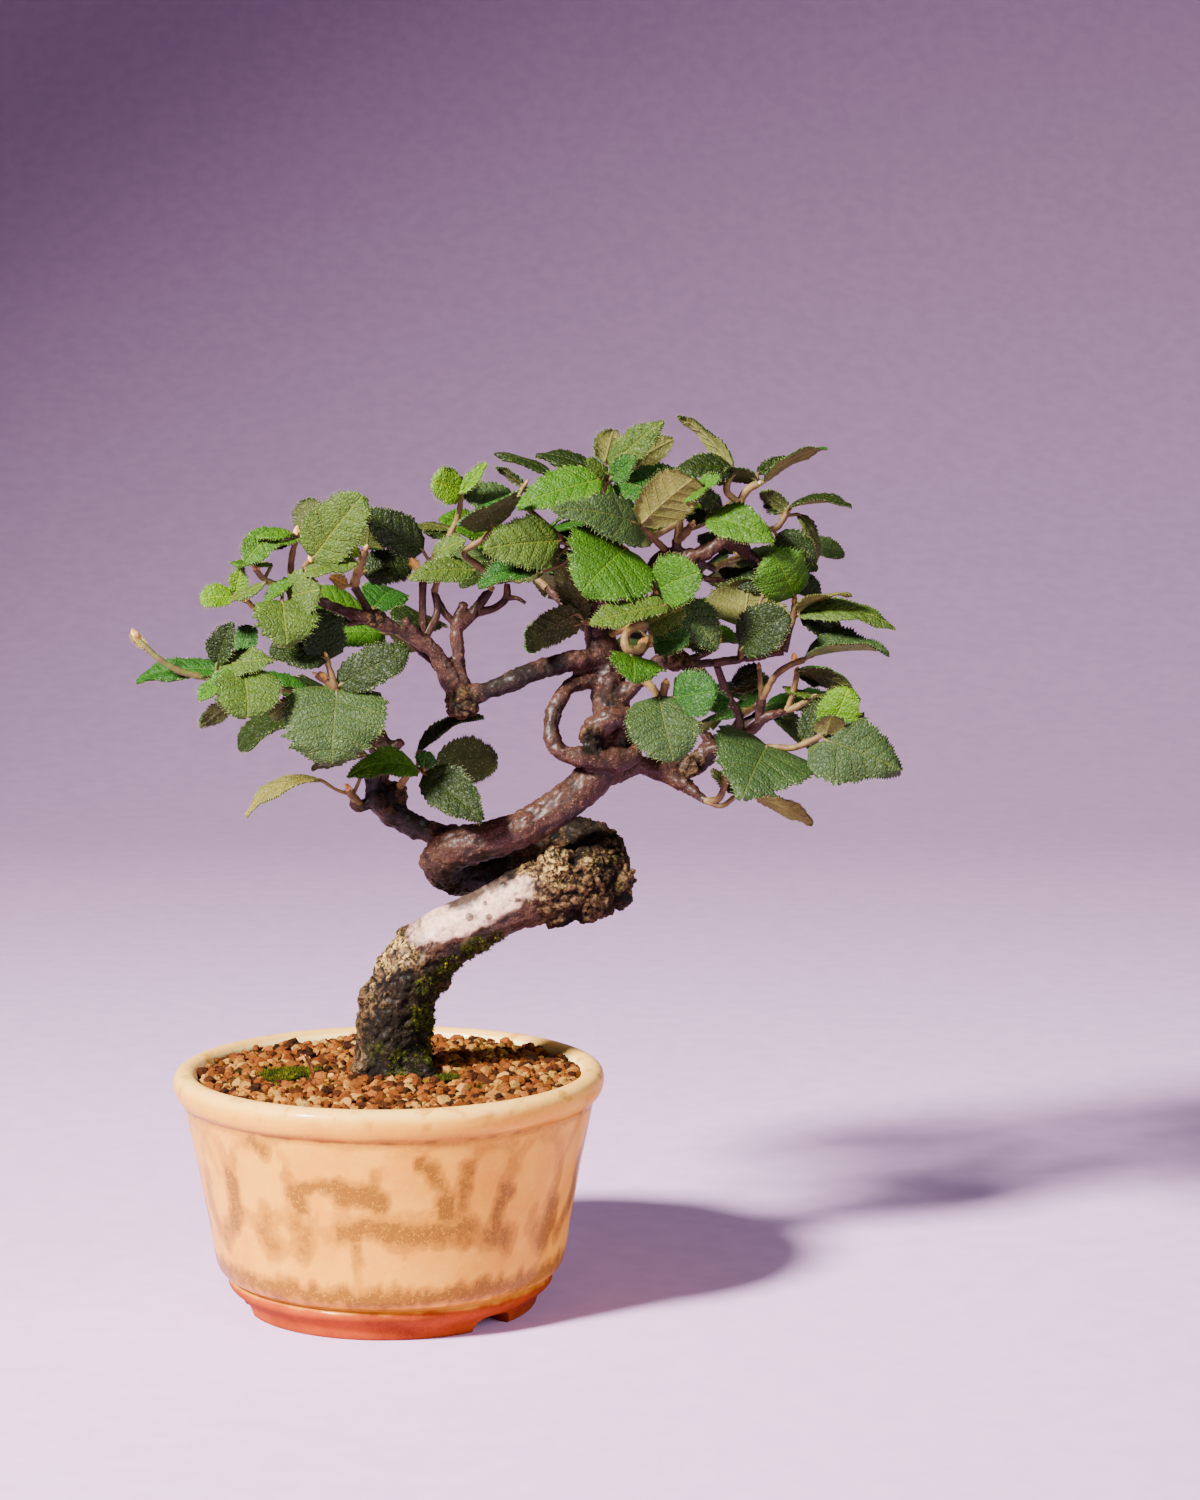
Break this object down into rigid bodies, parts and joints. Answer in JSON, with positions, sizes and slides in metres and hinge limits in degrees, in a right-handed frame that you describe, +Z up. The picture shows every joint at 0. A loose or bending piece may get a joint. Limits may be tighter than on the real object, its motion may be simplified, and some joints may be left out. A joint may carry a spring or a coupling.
{
  "type": "viburnum bonsai in a pot",
  "caption": "Small broad-leaved bonsai tree with a bent trunk, open gnarled branches and toothed leaves, growing in a round glazed pot filled with granular soil",
  "frame": {"origin": "under the middle of the whole object's box, on the surface that the pot's feet stand on", "axes": "+Z up along the pot's axis and the tree's height, +X to the right of the tree's front, towards which the trunk leans, +Y to its back"},
  "size_m": [0.2072, 0.12, 0.2485],
  "materials": {
    "glazed_clay": "glossy cream glaze with amber runs over red-brown fired clay",
    "bark": "rough grey-brown bark with lichen",
    "soil": "matte fired clay granules",
    "moss": "soft matte moss",
    "mesh_plastic": "matte dark plastic mesh",
    "wire": "brown anodised wire",
    "leaf": "finely hairy green leaves with olive undersides",
    "leaf_back": "finely hairy green leaves with olive undersides"
  },
  "bodies": {
    "root": {"drain_mesh": "mesh_plastic", "leaves_back_far_left": "leaf_back", "leaves_back_left": "leaf_back", "leaves_back_low_left": "leaf_back", "leaves_back_low_right": "leaf_back", "leaves_back_middle": "leaf_back", "leaves_back_right": "leaf_back", "leaves_back_top": "leaf_back", "leaves_far_left": "leaf", "leaves_fork_top": "leaf", "leaves_front_middle": "leaf", "leaves_left_front": "leaf", "leaves_left_middle": "leaf", "leaves_low_middle": "leaf", "leaves_low_right": "leaf", "leaves_lower_left": "leaf", "leaves_middle_left": "leaf", "leaves_middle_right": "leaf", "leaves_right_end": "leaf", "leaves_right_front": "leaf", "leaves_right_lower": "leaf", "leaves_right_middle": "leaf", "leaves_right_upper": "leaf", "leaves_top_left": "leaf", "leaves_top_middle": "leaf", "leaves_top_right": "leaf", "leaves_upper_left": "leaf", "leaves_upper_right": "leaf", "moss_left": "moss", "moss_right": "moss", "pot": "glazed_clay", "soil": "soil", "wire_pin": "wire", "wood": "bark"}
  },
  "joints": []
}
